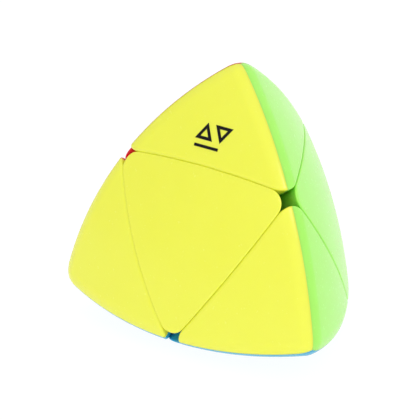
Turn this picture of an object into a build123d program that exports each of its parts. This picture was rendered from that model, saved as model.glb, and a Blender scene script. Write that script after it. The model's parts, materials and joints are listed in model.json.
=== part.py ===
from build123d import *
import os
from math import sqrt

# Domed tetrahedral twisty puzzle, in millimetres.
#
# Eight coloured outer pieces turn about three crossed axes on a spring-loaded core: four corner
# pieces with three coloured shells each, and four single-colour face pieces. All pieces are drawn in
# the axes' own frame, where the turning axes are X, Y and Z, and are then stood on the blue face.

# Outer shape
DOME_RADIUS = 119.0    # radius of each of the four domed faces
DOME_HEIGHT = 24.2     # centre of the puzzle to the middle of a face
EDGE_ROUND = 3.9       # rounding of the six long edges and the four tips
HOLE_ROUND = 4.8       # rounding of the pieces along the turning axes, which opens the star holes
WALL = 1.6             # wall of the coloured shells
GAP = 0.12             # clearance on each side of a cut plane or of a sliding ball surface
REACH = 60.0           # longer than any piece, for the tools that cut them out

# Mechanism inside the outer pieces
BALL = 17.5            # ball surface that the outer pieces slide on
CAP_BALL = 13.5        # ball surface between the caps and the feet
FOOT_BALL = 9.5        # innermost ball surface, under the feet
CAP_HALF = 6.5         # half width of the caps, and where the outer pieces' stems begin
FOOT_HALF = 4.2        # half width of the feet
NECK_OVERLAP = 0.5     # how far a neck runs into the cap and the foot it joins
SEAT_TOP = 19.0        # outer ball surface of the seat plate inside the shells
SEAT_FIT = 0.02        # fit of the seat plate in its shells

# Core and its six sprung screws
CORE_BALL = 5.0
ARM_RADIUS = 3.0
ARM_END = 8.8
HUB_FLOOR = (9.0, 10.4)
SLEEVE_RADIUS = 4.0
POCKET_RADIUS = 3.1
HUB_BORE = 1.45
SCREW_SHANK = 1.3
SCREW_START = 3.6
SCREW_HEAD = (14.6, 16.4)
HEAD_RADIUS = 2.7
RECESS = (2.6, 0.7, 1.0)     # length, width and depth of each slot of the cross recess
WASHER = (10.6, 11.1)
WASHER_BORE = 1.4
SPRING_RADIUS = 2.5
SPRING_WIRE = 0.25
SPRING_TURNS = 4

# The puzzle is stood up so that the tip where X, Y and Z are all positive points up.
STAND = Plane(
    origin=(0, 0, 0),
    x_dir=(-1 / sqrt(2), -1 / sqrt(6), 1 / sqrt(3)),
    z_dir=(0, 2 / sqrt(6), 1 / sqrt(3)),
).location
NEXT_AXIS = Location((0, 0, 0), (1, 1, 1), 120)      # carries X to Y, Y to Z and Z to X

# Every corner and every face, by the signs of X, Y and Z on its side of the cut planes
CORNERS = {"top": (1, 1, 1), "left": (1, -1, -1), "right": (-1, 1, -1), "back": (-1, -1, 1)}
FACES = {"yellow": (1, 1, -1), "green": (-1, 1, 1), "red": (1, -1, 1), "blue": (-1, -1, -1)}

# Where a piece drawn on the plus side of all three planes goes
SPOTS = {
    "top": Rot(0, 0, 0),
    "left": Rot(180, 0, 0),
    "right": Rot(0, 180, 0),
    "back": Rot(0, 0, 180),
    "red": Rot(0, 0, -90),
    "yellow": Rot(180, 0, 0) * Rot(0, 0, -90),
    "blue": Rot(0, 180, 0) * Rot(0, 0, -90),
    "green": Rot(0, 0, 90),
}

# Hubs on the plus and minus ends of X, Y and Z, named for the two colours that meet there
HUBS = [("yellow_red", "green_blue"), ("yellow_green", "red_blue"), ("green_red", "yellow_blue")]

# Inner edges round Z, X and Y, a quarter turn apart, named for the face and the corner above them
INNER_EDGES = [
    ("yellow_top", "green_right", "blue_back", "red_left"),
    ("green_top", "red_back", "blue_left", "yellow_right"),
    ("red_top", "yellow_left", "blue_right", "green_back"),
]


def save(node, *pieces):
    """Stand the finished piece, or set of like pieces, up and write it as one node."""
    placed = [STAND * piece for piece in pieces]
    export_step(placed[0] if len(placed) == 1 else Compound(placed), f"parts/{node}.step")


def domed_body(inset, rounding):
    """The whole puzzle's outer shape: four big balls in common, taken in by inset all round."""
    body = None
    for signs in FACES.values():
        shift = -(DOME_RADIUS - DOME_HEIGHT) / sqrt(3)
        ball = Pos(*(shift * sign for sign in signs)) * Sphere(DOME_RADIUS - inset)
        body = ball if body is None else body & ball
    return fillet(body.edges(), rounding)


def plus_side(start, rounding=0.0):
    """The space past start on all three axes, its three long edges rounded."""
    box = Pos(start, start, start) * Box(REACH, REACH, REACH, align=(Align.MIN,) * 3)
    if not rounding:
        return box
    return fillet(box.edges().sort_by_distance((start, start, start))[:3], rounding)


def ball_layer(inner, outer):
    """The space between two ball surfaces about the centre."""
    return Sphere(outer) - Sphere(inner)


def hollow_piece(outside, inside):
    """One eighth of the puzzle as a hollow moulding, open towards the mechanism."""
    skin = outside & plus_side(GAP, HOLE_ROUND)
    cavity = inside & plus_side(GAP + WALL, HOLE_ROUND - WALL)
    return skin - cavity - Sphere(BALL + GAP)


def corner_shell(corner):
    """The third of a corner piece that lies nearest the plane Z = 0."""
    part = split(corner, bisect_by=Plane(origin=(0, 0, 0), z_dir=(1, 0, -1)), keep=Keep.TOP)
    return split(part, bisect_by=Plane(origin=(0, 0, 0), z_dir=(0, 1, -1)), keep=Keep.TOP)


def piece_foot():
    """Seat plate, stem and foot that hold an outer piece under its neighbours' caps."""
    seat_space = plus_side(GAP + WALL + SEAT_FIT, HOLE_ROUND - WALL)
    seat = ball_layer(BALL + GAP, SEAT_TOP) & seat_space
    stem = ball_layer(CAP_BALL - GAP - NECK_OVERLAP, BALL + NECK_OVERLAP) & plus_side(CAP_HALF + GAP)
    foot = ball_layer(FOOT_BALL + GAP, CAP_BALL - GAP) & plus_side(FOOT_HALF + GAP)
    return seat + stem + foot


def beam(start, half_height):
    """The space past start on X and Y and within half_height of the plane Z = 0."""
    box = Box(REACH, REACH, 2 * half_height, align=(Align.MIN, Align.MIN, Align.CENTER))
    return Pos(start, start, 0) * box


def inner_edge():
    """Cap, neck and foot of the inner edge piece between X and Y."""
    cap = ball_layer(CAP_BALL + GAP, BALL - GAP) & beam(CAP_HALF + GAP, CAP_HALF - GAP)
    neck_layer = ball_layer(CAP_BALL - GAP - NECK_OVERLAP, CAP_BALL + GAP + NECK_OVERLAP)
    neck = neck_layer & beam(CAP_HALF + GAP, FOOT_HALF - GAP)
    foot = ball_layer(FOOT_BALL + GAP, CAP_BALL - GAP) & beam(FOOT_HALF + GAP, FOOT_HALF - GAP)
    return cap + neck + foot


def rod(radius, start, end):
    """A round bar along X."""
    bar = Cylinder(radius, end - start, align=(Align.CENTER, Align.CENTER, Align.MIN))
    return Pos(start, 0, 0) * Rot(0, 90, 0) * bar


def hub():
    """Square-sided cap with the sleeve that turns on a core screw, drawn on plus X."""
    width = 2 * (CAP_HALF - GAP)
    cap_space = Box(REACH, width, width, align=(Align.MIN, Align.CENTER, Align.CENTER))
    cap = ball_layer(CAP_BALL + GAP, BALL - GAP) & cap_space
    sleeve = rod(SLEEVE_RADIUS, HUB_FLOOR[0], CAP_BALL + GAP + NECK_OVERLAP)
    pocket = rod(POCKET_RADIUS, HUB_FLOOR[1], BALL)
    return cap + sleeve - pocket - rod(HUB_BORE, HUB_FLOOR[0] - 1, BALL)


def screw():
    """Tension screw with a cross recess, on plus X."""
    length, width, depth = RECESS
    head = rod(HEAD_RADIUS, *SCREW_HEAD)
    head = fillet(head.edges().sort_by(Axis.X)[-1], 0.5)
    body = rod(SCREW_SHANK, SCREW_START, SCREW_HEAD[0]) + head
    for across in ((depth, length, width), (depth, width, length)):
        slot = Box(*across, align=(Align.MAX, Align.CENTER, Align.CENTER))
        body -= Pos(SCREW_HEAD[1], 0, 0) * slot
    return body


def spring():
    """Round-wire compression spring between the washer and the screw head."""
    low = WASHER[1] + SPRING_WIRE
    height = SCREW_HEAD[0] - SPRING_WIRE - low
    path = Helix(pitch=height / SPRING_TURNS, height=height, radius=SPRING_RADIUS)
    section = Plane(origin=path @ 0, z_dir=path % 0) * Circle(SPRING_WIRE)
    return Pos(low, 0, 0) * Rot(0, 90, 0) * sweep(section, path=path)


def washer():
    """Flat washer that the spring turns on."""
    return rod(HEAD_RADIUS, *WASHER) - rod(WASHER_BORE, WASHER[0] - 1, WASHER[1] + 1)


def axis_spots():
    """The plus and minus ends of X, Y and Z, in the order of HUBS."""
    turn = Location()
    for _ in HUBS:
        yield turn
        yield turn * Rot(0, 0, 180)
        turn = NEXT_AXIS * turn


def core():
    """Six-armed core, each arm bored for its screw."""
    spider = Sphere(CORE_BALL)
    for spot in axis_spots():
        spider += spot * rod(ARM_RADIUS, 0, ARM_END)
    for spot in axis_spots():
        spider -= spot * rod(SCREW_SHANK, SCREW_START, ARM_END + 1)
    return spider


def save_corners():
    """Twelve coloured shells: each has the colour of the face piece across its own cut plane."""
    corner = hollow_piece(domed_body(0, EDGE_ROUND), domed_body(WALL, EDGE_ROUND - WALL))
    shell = corner_shell(corner)
    colours = {signs: colour for colour, signs in FACES.items()}
    for name, signs in CORNERS.items():
        for axis, turn in ((2, Location()), (0, NEXT_AXIS), (1, NEXT_AXIS * NEXT_AXIS)):
            across = tuple(-sign if k == axis else sign for k, sign in enumerate(signs))
            save(f"corner_{name}_{colours[across]}_shell", SPOTS[name] * turn * shell)


def save_faces():
    """Four single-colour face pieces, drawn under the body turned a quarter turn about Z."""
    turn = Rot(0, 0, 90)
    outside = turn * domed_body(0, EDGE_ROUND)
    inside = turn * domed_body(WALL, EDGE_ROUND - WALL)
    shell = hollow_piece(outside, inside)
    for colour in FACES:
        save(f"face_{colour}_shell", SPOTS[colour] * shell)


def save_feet():
    """Eight feet, one inside each outer piece."""
    foot = piece_foot()
    for name in CORNERS:
        save(f"corner_{name}_foot", SPOTS[name] * foot)
    for colour in FACES:
        save(f"face_{colour}_foot", SPOTS[colour] * foot)


def save_mechanism():
    """Core, screws, springs, washers, six hubs and twelve inner edges."""
    save("core_spider", core())
    sprung = {"tension_screws": screw(), "tension_springs": spring(), "spring_washers": washer()}
    for node, piece in sprung.items():
        save(node, *(spot * piece for spot in axis_spots()))
    names = [name for pair in HUBS for name in pair]
    for name, spot in zip(names, axis_spots()):
        save(f"hub_{name}", spot * hub())
    edge = inner_edge()
    turn = Location()
    for ring in INNER_EDGES:
        for quarter, name in enumerate(ring):
            save(f"inner_edge_{name}", turn * Rot(0, 0, 90 * quarter) * edge)
        turn = NEXT_AXIS * turn


os.makedirs("parts", exist_ok=True)
save_corners()
save_faces()
save_feet()
save_mechanism()
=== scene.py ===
import json
from itertools import combinations
from math import radians

import bmesh
import bpy
import numpy as np
from mathutils import Matrix, Vector


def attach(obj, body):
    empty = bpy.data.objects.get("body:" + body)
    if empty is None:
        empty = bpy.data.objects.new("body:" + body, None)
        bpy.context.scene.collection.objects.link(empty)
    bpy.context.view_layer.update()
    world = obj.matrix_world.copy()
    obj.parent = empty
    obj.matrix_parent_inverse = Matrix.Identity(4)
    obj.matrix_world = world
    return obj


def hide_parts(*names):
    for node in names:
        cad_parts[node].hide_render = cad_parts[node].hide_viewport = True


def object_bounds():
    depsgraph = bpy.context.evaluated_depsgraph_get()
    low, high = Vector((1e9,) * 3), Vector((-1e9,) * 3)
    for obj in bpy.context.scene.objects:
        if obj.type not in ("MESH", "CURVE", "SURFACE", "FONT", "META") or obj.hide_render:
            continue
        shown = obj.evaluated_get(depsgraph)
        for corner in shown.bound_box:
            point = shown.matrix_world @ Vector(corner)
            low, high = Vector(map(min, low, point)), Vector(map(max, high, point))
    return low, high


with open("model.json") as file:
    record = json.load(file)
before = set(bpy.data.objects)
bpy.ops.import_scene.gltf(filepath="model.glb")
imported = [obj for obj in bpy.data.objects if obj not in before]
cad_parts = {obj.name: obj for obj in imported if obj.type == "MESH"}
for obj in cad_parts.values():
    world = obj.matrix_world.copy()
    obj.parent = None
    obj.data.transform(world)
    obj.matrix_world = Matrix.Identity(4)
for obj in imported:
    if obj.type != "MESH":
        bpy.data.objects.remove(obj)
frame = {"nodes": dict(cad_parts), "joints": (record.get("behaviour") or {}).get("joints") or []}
cad_low, cad_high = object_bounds()
MM = 0.001

# ---------------------------------------------------------------------------------------------
# Camera: a long lens from a little above, turned so that the yellow face fills most of the view
# and the green face shows at its right. The aim point is the centre where the axes cross.
# ---------------------------------------------------------------------------------------------
VIEW_RIGHT = Vector((0.8343, 0.5508, 0.0234)).normalized()
VIEW_BACK = Vector((0.4958, -0.7682, 0.4051)).normalized()
CAMERA_DISTANCE = 0.850
LENS_MM = 291.5
SENSOR_MM = 36.0
CENTRE_SHIFT = (-0.0624, 0.0465)      # fractions of the picture's width
CLIP = (0.05, 20.0)                   # nearest and farthest distance drawn, in metres

camera_data = bpy.data.cameras.new("camera")
camera_data.sensor_width = SENSOR_MM
camera_data.lens = LENS_MM
camera_data.shift_x, camera_data.shift_y = CENTRE_SHIFT
camera_data.clip_start, camera_data.clip_end = CLIP
camera = bpy.data.objects.new("camera", camera_data)
bpy.context.scene.collection.objects.link(camera)
view_up = VIEW_BACK.cross(VIEW_RIGHT)
camera.matrix_world = Matrix.Translation(VIEW_BACK * CAMERA_DISTANCE) @ Matrix(
    (VIEW_RIGHT, view_up, VIEW_BACK)).transposed().to_4x4()
bpy.context.scene.camera = camera


# ---------------------------------------------------------------------------------------------
# Materials of the coloured pieces: ABS dyed in the mass and moulded in a polished tool, so the
# gloss is even. What breaks it is a faint sink and ripple of the moulding and fine handling haze.
# ---------------------------------------------------------------------------------------------
def linear(hex_colour):
    """An sRGB hex colour as a linear RGBA colour."""
    colour = []
    for start in (0, 2, 4):
        value = int(hex_colour[start:start + 2], 16) / 255
        colour.append(value / 12.92 if value <= 0.04045 else ((value + 0.055) / 1.055) ** 2.4)
    return (*colour, 1.0)


def add_node(tree, kind, settings=None, inputs=None):
    """A new node with its settings, and with each input set to a value or linked to a socket."""
    node = tree.nodes.new(kind)
    for name, value in (settings or {}).items():
        setattr(node, name, value)
    for name, value in (inputs or {}).items():
        if isinstance(value, bpy.types.NodeSocket):
            tree.links.new(value, node.inputs[name])
        else:
            node.inputs[name].default_value = value
    return node


def blank_material(name):
    """A material with an empty node tree."""
    material = bpy.data.materials.new(name)
    material.use_nodes = True
    material.node_tree.nodes.clear()
    return material, material.node_tree


def finish_material(material, shader):
    """Lead the shader to the material's output."""
    output = add_node(material.node_tree, "ShaderNodeOutputMaterial")
    material.node_tree.links.new(shader, output.inputs["Surface"])
    return material


ABS_IOR = 1.54
RIPPLE_MM = 7.0          # spacing of the soft ripple where thick and thin walls cool apart
HAZE_MM = 0.9            # patches of handling haze, drawn coarser than the real hairlines
GRAIN_MM = 0.25          # grain of the tool's surface
RIPPLE_DEPTH_MM = 0.05
GRAIN_DEPTH_MM = 0.01
GLOW_DEPTH_MM = 1.2      # how far light spreads in the dyed wall, most in the colour it passes
GLOW_WEIGHT = 0.5
ABS_ROUGHNESS = (0.20, 0.28)     # polished, and where handling haze lies on it


def per_metre(spacing_mm):
    """A noise scale with about one feature for each spacing."""
    return 1 / (spacing_mm * MM)


def moulded_abs(name, hex_colour, deep_hex, glow):
    """Glossy dyed ABS that light enters a little way: deeper in colour where the wall is thick."""
    material, tree = blank_material(name)
    place = add_node(tree, "ShaderNodeTexCoord").outputs["Object"]
    ripple = add_node(tree, "ShaderNodeTexNoise", {}, {
        "Vector": place, "Scale": per_metre(RIPPLE_MM), "Detail": 1.0, "Roughness": 0.4})
    haze = add_node(tree, "ShaderNodeTexNoise", {}, {
        "Vector": place, "Scale": per_metre(HAZE_MM), "Detail": 4.0, "Roughness": 0.6})
    grain = add_node(tree, "ShaderNodeTexNoise", {}, {
        "Vector": place, "Scale": per_metre(GRAIN_MM), "Detail": 2.0, "Roughness": 0.5})
    dye = add_node(tree, "ShaderNodeMix", {"data_type": "RGBA"}, {
        "Factor": ripple.outputs["Fac"], "A": linear(deep_hex), "B": linear(hex_colour)})
    gloss_map = add_node(tree, "ShaderNodeMapRange", {}, {
        "Value": haze.outputs["Fac"], "From Min": 0.3, "From Max": 0.7,
        "To Min": ABS_ROUGHNESS[0], "To Max": ABS_ROUGHNESS[1]})
    soft = add_node(tree, "ShaderNodeBump", {}, {
        "Height": ripple.outputs["Fac"], "Strength": 0.12, "Distance": RIPPLE_DEPTH_MM * MM})
    fine = add_node(tree, "ShaderNodeBump", {}, {
        "Height": grain.outputs["Fac"], "Strength": 0.10, "Distance": GRAIN_DEPTH_MM * MM,
        "Normal": soft.outputs["Normal"]})
    shader = add_node(tree, "ShaderNodeBsdfPrincipled", {}, {
        "Base Color": dye.outputs["Result"], "Roughness": gloss_map.outputs["Result"],
        "IOR": ABS_IOR, "Subsurface Weight": GLOW_WEIGHT, "Subsurface Radius": glow,
        "Subsurface Scale": GLOW_DEPTH_MM * MM, "Normal": fine.outputs["Normal"]})
    return finish_material(material, shader.outputs["BSDF"])


ABS = {
    "yellow": moulded_abs("yellow moulded ABS", "F2F54E", "F0F348", (1.0, 0.9, 0.2)),
    "green": moulded_abs("green moulded ABS", "A6F160", "A2EE59", (0.5, 1.0, 0.3)),
    "red": moulded_abs("red moulded ABS", "F0283A", "EC2032", (1.0, 0.2, 0.2)),
    "blue": moulded_abs("blue moulded ABS", "3CB0D4", "36AAD0", (0.3, 0.7, 1.0)),
}


# ---------------------------------------------------------------------------------------------
# Coloured shells: thin mouldings of two shapes, a corner's and a face's, in millimetres along the
# turning axes from the point where they cross. Each is drawn in the space where all three are
# positive, as rows that run from their diagonal over the dome, round the rim, and down the wall on
# the cut plane to the ball that the piece slides on.
# ---------------------------------------------------------------------------------------------
DOME_RADIUS = 119.0
DOME_HEIGHT = 24.2
EDGE_ROUND = 3.9             # of the inner surface, measured on the plain outer one
BEVEL_DEPTH = 1.2            # the long edges are bevelled, this far below the sharp edge
TIP_DEPTH = 2.2              # and the four tips are cut off as far below the sharp tip
BEVEL_ROUND = 1.6            # bevels and tips run out softly into the domes
HALF_TURN_COS = 0.755        # half the turn of the surface across a long edge is 41 degrees
TIP_COS = 0.651              # and each dome leans 49 degrees away from a tip's own direction
HOLE_ROUND = 4.8             # the rounding along a turning axis that leaves the star holes
RIM_ROUND = 0.55             # where the dome turns into the wall on the cut plane
INNER_RIM_ROUND = 0.15
WALL = 1.6
GAP = 0.01                   # from each piece to the cut plane
BALL = 17.5                  # radius of the ball that the pieces slide on
MASTERS = ("turn_yellow_red_half", "turn_yellow_green_half", "turn_green_red_half")
CORNERS = {"top": (1, 1, 1), "left": (1, -1, -1), "right": (-1, 1, -1), "back": (-1, -1, 1)}
FACES = {"yellow": (1, 1, -1), "green": (-1, 1, 1), "red": (1, -1, 1), "blue": (-1, -1, -1)}
COLOURS = {signs: colour for colour, signs in FACES.items()}

DIAGONAL = np.ones(3) / np.sqrt(3)
TOWARDS_X = np.array((2.0, -1.0, -1.0)) / np.sqrt(6)
ACROSS = np.cross(DIAGONAL, TOWARDS_X)
SECTOR = radians(120)
COLUMNS = 72                 # steps across one coloured shell
CROWDING = 2.0               # how much closer the columns stand at the shell's two sides
DOME_ROWS = 40
DOME_ROW_SPREAD = 1.35       # rows open out towards the rim, in proportion to this power
WALL_ROWS = 14
RIM_STEPS_MM = (0.09, 0.18, 0.27, 0.36, 0.46, 0.58, 0.75, 1.0)
RIM_ROWS_MM = (*(-step for step in reversed(RIM_STEPS_MM)), 0.0, *RIM_STEPS_MM)
FARTHEST = 60.0              # longer than any ray from inside a piece to its surface
TILT_LIMITS = (0.1, 2.6, 3.1)    # below any rim, above any rim, and above any foot, in radians
HALVINGS = 44                # settles a length to far less than a thousandth of a millimetre
SHARP_DEGREES = 35           # a turn above this stays a crisp edge

joint_axes = {joint["name"]: joint["axis"] for joint in frame["joints"]}
AXES = np.array([joint_axes[name] for name in MASTERS])
AXES /= np.linalg.norm(AXES, axis=1)[:, None]
NEXT_AXIS = np.array(((0, 0, 1), (1, 0, 0), (0, 1, 0)))
SWAP = np.array(((0, 1, 0), (1, 0, 0), (0, 0, 1)))


def rounded(distances, radius):
    """Join surfaces, given as distances outside each, with a rounding of that radius."""
    distances = np.stack(distances)
    near = np.maximum(distances + radius, 0)
    return np.sqrt((near ** 2).sum(0)) + np.minimum(distances.max(0) + radius, 0) - radius


def dome_distance(points, dome_signs, inset):
    """How far points lie outside the four domes, bevelled outside and rounded inside."""
    distances = []
    for signs in dome_signs:
        centre = np.array(signs) / np.sqrt(3) * (DOME_HEIGHT - DOME_RADIUS)
        distances.append(np.linalg.norm(points - centre, axis=-1) - (DOME_RADIUS - inset))
    if inset:
        return rounded(distances, EDGE_ROUND - inset)
    bevels = [(one + other) / (2 * HALF_TURN_COS) + BEVEL_DEPTH
              for one, other in combinations(distances, 2)]
    tips = [sum(three) / (3 * TIP_COS) + TIP_DEPTH for three in combinations(distances, 3)]
    return rounded(distances + bevels + tips, BEVEL_ROUND)


def wall_distance(points, inset):
    """How far points lie outside the three cut planes, rounded along the turning axes."""
    return rounded([GAP + inset - points[..., k] for k in range(3)], HOLE_ROUND - inset)


def halve(low, high, is_beyond):
    """The value between low and high where is_beyond turns true, for whole arrays."""
    for _ in range(HALVINGS):
        middle = (low + high) / 2
        beyond = is_beyond(middle)
        low, high = np.where(beyond, low, middle), np.where(beyond, middle, high)
    return (low + high) / 2


def directions(turn, tilt):
    """Unit directions at an angle tilt from the diagonal, turned about it from the X side."""
    side = np.cos(turn)[..., None] * TOWARDS_X + np.sin(turn)[..., None] * ACROSS
    return np.cos(tilt)[..., None] * DIAGONAL + np.sin(tilt)[..., None] * side


def shell_surface(dome_signs, eye_height, inset, turns):
    """Points of one surface of a shell: an array of rows by columns."""
    eye = DIAGONAL * eye_height
    rim_round = RIM_ROUND if inset == 0 else INNER_RIM_ROUND
    farthest = np.full(turns.shape, FARTHEST)
    below_rim, above_rim, above_foot = (np.full(turns.shape, tilt) for tilt in TILT_LIMITS)

    def reach(tilt, sharp=False):
        way = directions(turns, tilt)

        def outside(length):
            points = eye + length[..., None] * way
            dome = dome_distance(points, dome_signs, inset)
            wall = wall_distance(points, inset)
            return (np.maximum(dome, wall) if sharp else rounded([dome, wall], rim_round)) > 0

        return eye + halve(np.zeros(turns.shape), farthest, outside)[..., None] * way

    def on_wall(tilt):
        points = reach(tilt, sharp=True)
        return wall_distance(points, inset) > dome_distance(points, dome_signs, inset)

    def past_ball(tilt):
        return np.linalg.norm(reach(tilt, sharp=True), axis=-1) < BALL + GAP

    rim = halve(below_rim, above_rim, on_wall)
    foot = halve(rim, above_foot, past_ball)
    rim_length = np.linalg.norm(reach(rim, sharp=True) - eye, axis=-1)
    rim_steps = [rim + step / rim_length for step in RIM_ROWS_MM]
    dome_steps = [rim_steps[0] * (k / DOME_ROWS) ** DOME_ROW_SPREAD for k in range(DOME_ROWS)]
    wall_steps = [rim_steps[-1] + (foot - rim_steps[-1]) * k / WALL_ROWS
                  for k in range(1, WALL_ROWS + 1)]
    return np.stack([reach(tilt) for tilt in dome_steps + rim_steps + wall_steps])


def column_turns(sectors):
    """Turns of the columns about the diagonal, crowded towards the sides of each sector."""
    spread = np.tanh(CROWDING * np.linspace(-1, 1, COLUMNS + 1)) / np.tanh(CROWDING)
    one = SECTOR * (spread + 1) / 2
    return np.concatenate([one[:-1] + SECTOR * k for k in range(sectors)] + [[SECTOR * sectors]])


def shell_mesh(dome_signs, eye_height, sectors):
    """Points and faces of a closed shell that spans that many sectors about the diagonal."""
    turns = column_turns(sectors)
    around = sectors == 3
    if around:
        turns = turns[:-1]
    points, faces, sheets = [], [], []
    for inset in (0.0, WALL):
        surface = shell_surface(dome_signs, eye_height, inset, turns)
        rows, columns = surface.shape[:2]
        pole = len(points)
        points.append(surface[0, 0])
        first = len(points)
        points.extend(surface[1:].reshape(-1, 3))

        def at(row, column, pole=pole, first=first, columns=columns):
            return pole if row == 0 else first + (row - 1) * columns + column % columns

        sheets.append(at)
    steps = columns if around else columns - 1
    outer, inner = sheets
    for row in range(rows - 1):
        for column in range(steps):
            ring = [(row, column), (row + 1, column), (row + 1, column + 1), (row, column + 1)]
            if row == 0:
                ring = ring[:3]
            faces.append([outer(*spot) for spot in ring])
            faces.append([inner(*spot) for spot in reversed(ring)])
    last = rows - 1
    for column in range(steps):
        faces.append([outer(last, column), inner(last, column),
                      inner(last, column + 1), outer(last, column + 1)])
    if not around:
        for row in range(last):
            faces.append([outer(row, 0), inner(row, 0), inner(row + 1, 0), outer(row + 1, 0)])
            faces.append([outer(row + 1, steps), inner(row + 1, steps),
                          inner(row, steps), outer(row, steps)])
    return np.array(points), faces


def mesh_object(name, points_mm, faces, material):
    """A smooth-shaded mesh object in the row's frame, from points in millimetres on the axes."""
    mesh = bpy.data.meshes.new(name)
    mesh.from_pydata((points_mm @ AXES * MM).tolist(), [], faces)
    mesh.materials.append(material)
    mesh.shade_smooth()
    mesh.set_sharp_from_angle(angle=radians(SHARP_DEGREES))
    piece = bpy.data.objects.new(name, mesh)
    bpy.context.scene.collection.objects.link(piece)
    return piece


# ---------------------------------------------------------------------------------------------
# Corner pieces: three shells each, clipped together along the puzzle's long edges. A shell has
# the colour of the face piece across its own cut plane, and its inner wall is in that colour too.
# ---------------------------------------------------------------------------------------------
CORNER_EYE = 24.0            # where the rays start on the diagonal, inside the piece
corner_points, corner_faces = shell_mesh(tuple(FACES.values()), CORNER_EYE, 1)
for corner, signs in CORNERS.items():
    for axis, turn in ((2, np.eye(3)), (0, NEXT_AXIS), (1, NEXT_AXIS @ NEXT_AXIS)):
        colour = COLOURS[tuple(-sign if k == axis else sign for k, sign in enumerate(signs))]
        placed = corner_points @ (np.diag(signs) @ turn).T
        name = f"corner_{corner}_{colour}_shell"
        shell = mesh_object(name + "_moulding", placed, corner_faces, ABS[colour])
        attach(shell, f"corner_{corner}")
        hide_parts(name)

# ---------------------------------------------------------------------------------------------
# Face pieces: one shell each, a rounded triangle of dome with three walls on the cut planes.
# ---------------------------------------------------------------------------------------------
FACE_EYE = 19.0              # where the rays start on the diagonal, inside the piece
face_domes = tuple(tuple(-sign for sign in signs) for signs in FACES.values())
face_points, face_faces = shell_mesh(face_domes, FACE_EYE, 3)
for colour, signs in FACES.items():
    placed = face_points @ (np.diag(signs) @ SWAP).T
    name = f"face_{colour}_shell"
    shell = mesh_object(name + "_moulding", placed, face_faces, ABS[colour])
    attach(shell, f"face_{colour}")
    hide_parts(name)


# ---------------------------------------------------------------------------------------------
# Mechanism: core, hubs, inner edges and feet, moulded in plain ABS and acetal with a satin tool
# finish, and never seen but through the star holes. Screws, washers and springs are zinc plated.
# ---------------------------------------------------------------------------------------------
SATIN_GRAIN_MM = 0.2
SATIN_DEPTH_MM = 0.02
SATIN_SPREAD = 0.06      # how far the roughness strays to each side of its middle value
METAL_SPREAD = 0.08


def satin_plastic(name, hex_colour, ior, roughness):
    """Moulded plastic from a spark-eroded tool: an even fine grain."""
    material, tree = blank_material(name)
    place = add_node(tree, "ShaderNodeTexCoord").outputs["Object"]
    grain = add_node(tree, "ShaderNodeTexNoise", {}, {
        "Vector": place, "Scale": per_metre(SATIN_GRAIN_MM), "Detail": 3.0, "Roughness": 0.55})
    bump = add_node(tree, "ShaderNodeBump", {}, {
        "Height": grain.outputs["Fac"], "Strength": 0.25, "Distance": SATIN_DEPTH_MM * MM})
    sheen = add_node(tree, "ShaderNodeMapRange", {}, {
        "Value": grain.outputs["Fac"],
        "To Min": roughness - SATIN_SPREAD, "To Max": roughness + SATIN_SPREAD})
    shader = add_node(tree, "ShaderNodeBsdfPrincipled", {}, {
        "Base Color": linear(hex_colour), "Roughness": sheen.outputs["Result"],
        "IOR": ior, "Normal": bump.outputs["Normal"]})
    return finish_material(material, shader.outputs["BSDF"])


def zinc_steel(name, hex_colour, roughness, streak_mm):
    """Zinc-plated steel: bright metal with a faint drawn or turned streak."""
    material, tree = blank_material(name)
    place = add_node(tree, "ShaderNodeTexCoord").outputs["Object"]
    streak = add_node(tree, "ShaderNodeTexNoise", {}, {
        "Vector": place, "Scale": per_metre(streak_mm), "Detail": 4.0, "Roughness": 0.7})
    sheen = add_node(tree, "ShaderNodeMapRange", {}, {
        "Value": streak.outputs["Fac"],
        "To Min": roughness - METAL_SPREAD, "To Max": roughness + METAL_SPREAD})
    shader = add_node(tree, "ShaderNodeBsdfPrincipled", {}, {
        "Base Color": linear(hex_colour), "Metallic": 1.0, "Roughness": sheen.outputs["Result"]})
    return finish_material(material, shader.outputs["BSDF"])


acetal = satin_plastic("black satin acetal", "2B2D30", 1.48, 0.42)
core_abs = satin_plastic("white satin ABS", "E4E6E4", ABS_IOR, 0.4)
screw_zinc = zinc_steel("zinc plated screw steel", "B9BCC0", 0.3, 0.5)
spring_wire = zinc_steel("drawn spring wire", "C4C7CA", 0.22, 0.3)
washer_zinc = zinc_steel("zinc plated washer steel", "BEC1C4", 0.28, 0.6)
for node, piece in frame["nodes"].items():
    if node.endswith("_shell") or node == "tension_springs":
        continue
    finish = acetal
    if node == "core_spider":
        finish = core_abs
    elif node == "tension_screws":
        finish = screw_zinc
    elif node == "spring_washers":
        finish = washer_zinc
    piece.data.materials.clear()
    piece.data.materials.append(finish)

# ---------------------------------------------------------------------------------------------
# Tension springs: six cold-wound coils of round wire, one on each screw between the washer and
# the screw head. One coil is drawn and repeated on the six ends of the turning axes.
# ---------------------------------------------------------------------------------------------
SPRING_SPAN = (11.1, 14.6)       # millimetres from the centre, along the turning axis
SPRING_RADIUS = 2.5              # of the coil, to the middle of the wire
SPRING_WIRE = 0.25               # radius
SPRING_TURNS = 4.0
STEPS_PER_TURN = 40
WIRE_SIDES = 12
WIRE_SHARP_DEGREES = 40


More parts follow.
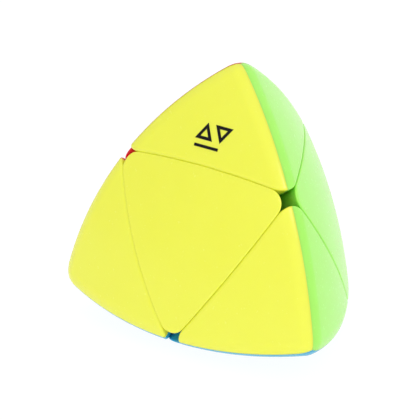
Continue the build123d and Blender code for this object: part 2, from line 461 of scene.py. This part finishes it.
def coil_tree(material):
    """Geometry nodes: a wire coil stood on every point, its axis away from the centre."""
    tree = bpy.data.node_groups.new("tension_coils", "GeometryNodeTree")
    sizes = {"Coil radius": SPRING_RADIUS, "Wire radius": SPRING_WIRE, "Turns": SPRING_TURNS,
             "Height": SPRING_SPAN[1] - SPRING_SPAN[0] - 2 * SPRING_WIRE}
    tree.interface.new_socket("Geometry", in_out="INPUT", socket_type="NodeSocketGeometry")
    for label in sizes:
        tree.interface.new_socket(label, in_out="INPUT", socket_type="NodeSocketFloat")
    tree.interface.new_socket("Geometry", in_out="OUTPUT", socket_type="NodeSocketGeometry")
    given = add_node(tree, "NodeGroupInput").outputs
    coil = add_node(tree, "GeometryNodeCurveSpiral", {}, {
        "Resolution": STEPS_PER_TURN, "Rotations": given["Turns"],
        "Start Radius": given["Coil radius"], "End Radius": given["Coil radius"],
        "Height": given["Height"]})
    section = add_node(tree, "GeometryNodeCurvePrimitiveCircle", {}, {
        "Resolution": WIRE_SIDES, "Radius": given["Wire radius"]})
    wire = add_node(tree, "GeometryNodeCurveToMesh", {}, {
        "Curve": coil.outputs["Curve"], "Profile Curve": section.outputs["Curve"],
        "Fill Caps": True})
    place = add_node(tree, "GeometryNodeInputPosition").outputs["Position"]
    aim = add_node(tree, "FunctionNodeAlignRotationToVector", {"axis": "Z"}, {"Vector": place})
    repeat = add_node(tree, "GeometryNodeInstanceOnPoints", {}, {
        "Points": given["Geometry"], "Instance": wire.outputs["Mesh"],
        "Rotation": aim.outputs["Rotation"]})
    real = add_node(tree, "GeometryNodeRealizeInstances", {}, {
        "Geometry": repeat.outputs["Instances"]})
    painted = add_node(tree, "GeometryNodeSetMaterial", {}, {
        "Geometry": real.outputs["Geometry"], "Material": material})
    out = add_node(tree, "NodeGroupOutput")
    tree.links.new(painted.outputs["Geometry"], out.inputs["Geometry"])
    return tree, sizes


def grown(name, points_mm, tree, sizes):
    """A plain mesh from a geometry-nodes tree that works on loose points in millimetres."""
    seed = bpy.data.meshes.new(name)
    seed.from_pydata((points_mm @ AXES).tolist(), [], [])
    piece = bpy.data.objects.new(name, seed)
    bpy.context.scene.collection.objects.link(piece)
    modifier = piece.modifiers.new("grow", "NODES")
    modifier.node_group = tree
    for item in tree.interface.items_tree:
        if item.in_out == "INPUT" and item.name in sizes:
            modifier[item.identifier] = sizes[item.name]
    graph = bpy.context.evaluated_depsgraph_get()
    made = bpy.data.meshes.new_from_object(piece.evaluated_get(graph))
    piece.modifiers.clear()
    piece.data = made
    made.transform(Matrix.Scale(MM, 4))
    made.shade_smooth()
    made.set_sharp_from_angle(angle=radians(WIRE_SHARP_DEGREES))
    return piece


axis_ends = np.concatenate([np.eye(3), -np.eye(3)])
coil_starts = axis_ends * (SPRING_SPAN[0] + SPRING_WIRE)
springs = grown("tension_coils", coil_starts, *coil_tree(spring_wire))
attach(springs, "core")
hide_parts("tension_springs")

# ---------------------------------------------------------------------------------------------
# Printed mark: pad-printed black ink on the top corner's yellow shell. It is a plain sign of two
# opposed triangles, a corner piece's and a face piece's outline, over a rule, wrapped on the dome.
# ---------------------------------------------------------------------------------------------
MARK_AIM = (21.6, 21.6, 6.6)     # the dome's middle, this point and the mark's start are in line
MARK_SHIFT = 0.8                 # from there, along the seam
TRIANGLE_INRADIUS = 1.45
UPRIGHT_MIDDLE = (-2.35, 0.55)   # places and sizes on the flat mark: along the seam, and up
HANGING_MIDDLE = (2.35, 1.95)
MARK_LINE = 0.8
RULE_CORNER = (-4.5, -2.9)
RULE_SIZE = (6.9, 0.75)
INK_PROUD = 0.03                 # the film stands this far out of the dome, and reaches as deep
INK_STEPS = 10                   # squares along each side of a field
INK_GRAIN_MM = 0.35
INK_DEPTH_MM = 0.01
WELD = 1e-7                      # corners of fields closer than this, in metres, become one


def ink(name, hex_colour):
    """Two-part pad-printing ink: a thin satin film, a little uneven where it was pressed on."""
    material, tree = blank_material(name)
    place = add_node(tree, "ShaderNodeTexCoord").outputs["Object"]
    film = add_node(tree, "ShaderNodeTexNoise", {}, {
        "Vector": place, "Scale": per_metre(INK_GRAIN_MM), "Detail": 3.0})
    bump = add_node(tree, "ShaderNodeBump", {}, {
        "Height": film.outputs["Fac"], "Strength": 0.2, "Distance": INK_DEPTH_MM * MM})
    sheen = add_node(tree, "ShaderNodeMapRange", {}, {
        "Value": film.outputs["Fac"], "To Min": 0.32, "To Max": 0.48})
    shader = add_node(tree, "ShaderNodeBsdfPrincipled", {}, {
        "Base Color": linear(hex_colour), "Roughness": sheen.outputs["Result"],
        "IOR": 1.5, "Specular IOR Level": 0.2, "Normal": bump.outputs["Normal"]})
    return finish_material(material, shader.outputs["BSDF"])


def band(outline, width):
    """Four-sided fields that follow a closed outline of three points on its inner side."""
    middle = sum(outline) / 3
    inner = [middle + (point - middle) * (1 - width / TRIANGLE_INRADIUS) for point in outline]
    return [(outline[k], outline[k - 1], inner[k - 1], inner[k]) for k in range(3)]


def triangle(middle, turn_degrees):
    """Corners of an even-sided triangle about a middle point."""
    angles = [radians(turn_degrees + 120 * k) for k in range(3)]
    return [middle + 2 * TRIANGLE_INRADIUS * np.array((np.cos(angle), np.sin(angle)))
            for angle in angles]


def bar(corner, size):
    """One long field with its lower left corner at that place."""
    (x, y), (length, height) = corner, size
    return [tuple(np.array(spot) for spot in ((x, y), (x + length, y), (x + length, y + height),
                                              (x, y + height)))]


def print_on_dome(name, fields, material):
    """Closed thin film over flat fields: each is cut into small squares and laid on the dome."""
    dome_centre = np.array(FACES["yellow"]) / np.sqrt(3) * (DOME_HEIGHT - DOME_RADIUS)
    seam_way = np.array((-1.0, 1.0, 0.0)) / np.sqrt(2)
    outward = np.array(MARK_AIM) - dome_centre
    outward /= np.linalg.norm(outward)
    upward = np.cross(outward, seam_way)
    start = dome_centre + outward * DOME_RADIUS + seam_way * MARK_SHIFT
    film = bmesh.new()
    steps = np.linspace(0, 1, INK_STEPS + 1)
    for a, b, c, d in fields:
        grid = []
        for v in steps:
            row = []
            for u in steps:
                x, y = (1 - v) * ((1 - u) * a + u * b) + v * ((1 - u) * d + u * c)
                way = start + seam_way * x + upward * y - dome_centre
                way *= (DOME_RADIUS + INK_PROUD) / np.linalg.norm(way)
                row.append(film.verts.new((dome_centre + way) @ AXES * MM))
            grid.append(row)
        for row, next_row in zip(grid, grid[1:]):
            for k in range(INK_STEPS):
                film.faces.new((row[k], row[k + 1], next_row[k + 1], next_row[k]))
    bmesh.ops.remove_doubles(film, verts=film.verts, dist=WELD)
    bmesh.ops.recalc_face_normals(film, faces=film.faces)
    bmesh.ops.solidify(film, geom=film.faces, thickness=2 * INK_PROUD * MM)
    bmesh.ops.recalc_face_normals(film, faces=film.faces)
    mesh = bpy.data.meshes.new(name)
    film.to_mesh(mesh)
    film.free()
    mesh.materials.append(material)
    piece = bpy.data.objects.new(name, mesh)
    bpy.context.scene.collection.objects.link(piece)
    return piece


upright = band(triangle(np.array(UPRIGHT_MIDDLE), 90), MARK_LINE)
hanging = band(triangle(np.array(HANGING_MIDDLE), -90), MARK_LINE)
rule = bar(RULE_CORNER, RULE_SIZE)
mark = print_on_dome("printed_mark", upright + hanging + rule,
                     ink("black pad-printing ink", "08080A"))
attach(mark, "corner_top")


# ---------------------------------------------------------------------------------------------
# Floor, lights and surroundings: a backlit white floor, a soft lamp at the right front, and a
# bright tent round them with a dimmer left side and a dark flag behind at the left, which keeps
# red deep. Places and sizes are in metres.
# ---------------------------------------------------------------------------------------------
FLOOR_HALF = 1.5
FLOOR_GLOW = 0.93
KEY_PLACE = (1.0, -0.66, 1.13)
KEY_SIZE = 0.45
KEY_WATTS = 3.0
FLAG_WAY = (-0.78, 0.61, 0.1)
FLAG_STRENGTH = 0.05
DIM_STRENGTH = 0.75


def soft_lamp(name, place, size, watts):
    """A square area lamp that points at the centre."""
    data = bpy.data.lights.new(name, "AREA")
    data.shape = "SQUARE"
    data.size = size
    data.energy = watts
    lamp = bpy.data.objects.new(name, data)
    bpy.context.scene.collection.objects.link(lamp)
    lamp.location = place
    lamp.rotation_euler = (-Vector(place)).to_track_quat("-Z", "Y").to_euler()
    return lamp


floor_mesh = bpy.data.meshes.new("pale_floor")
floor_corners = [(x * FLOOR_HALF, y * FLOOR_HALF, cad_low[2])
                 for x, y in ((-1, -1), (1, -1), (1, 1), (-1, 1))]
floor_mesh.from_pydata(floor_corners, [], [(0, 1, 2, 3)])
floor = bpy.data.objects.new("pale_floor", floor_mesh)
bpy.context.scene.collection.objects.link(floor)
floor_top, floor_nodes = blank_material("backlit opal acrylic")
opal = add_node(floor_nodes, "ShaderNodeBsdfPrincipled", {}, {
    "Base Color": linear("5C5C5C"), "Roughness": 0.7, "IOR": 1.3,
    "Emission Color": linear("FFFFFF"), "Emission Strength": FLOOR_GLOW})
floor_mesh.materials.append(finish_material(floor_top, opal.outputs["BSDF"]))

soft_lamp("key", KEY_PLACE, KEY_SIZE, KEY_WATTS)

world = bpy.data.worlds.new("studio")
world.use_nodes = True
world.node_tree.nodes.clear()
way = add_node(world.node_tree, "ShaderNodeTexCoord").outputs["Generated"]


def fade(direction, start, end, first, last):
    """A strength that runs from first to last as the cosine to a direction goes start to end."""
    nearness = add_node(world.node_tree, "ShaderNodeVectorMath", {"operation": "DOT_PRODUCT"})
    world.node_tree.links.new(way, nearness.inputs[0])
    nearness.inputs[1].default_value = Vector(direction).normalized()
    return add_node(world.node_tree, "ShaderNodeMapRange", {"interpolation_type": "SMOOTHSTEP"}, {
        "Value": nearness.outputs["Value"], "From Min": start, "From Max": end,
        "To Min": first, "To Max": last}).outputs["Result"]


flag = fade(FLAG_WAY, start=0.85, end=0.95, first=1.0, last=FLAG_STRENGTH)
dimmer_left = fade(-VIEW_RIGHT, start=0.0, end=1.0, first=1.0, last=DIM_STRENGTH)
both = add_node(world.node_tree, "ShaderNodeMath", {"operation": "MULTIPLY"})
world.node_tree.links.new(flag, both.inputs[0])
world.node_tree.links.new(dimmer_left, both.inputs[1])
sky = add_node(world.node_tree, "ShaderNodeBackground", {}, {
    "Color": linear("FFFFFF"), "Strength": both.outputs["Value"]})
sky_out = add_node(world.node_tree, "ShaderNodeOutputWorld")
world.node_tree.links.new(sky.outputs["Background"], sky_out.inputs["Surface"])
bpy.context.scene.world = world
bpy.context.scene.view_settings.view_transform = "Standard"
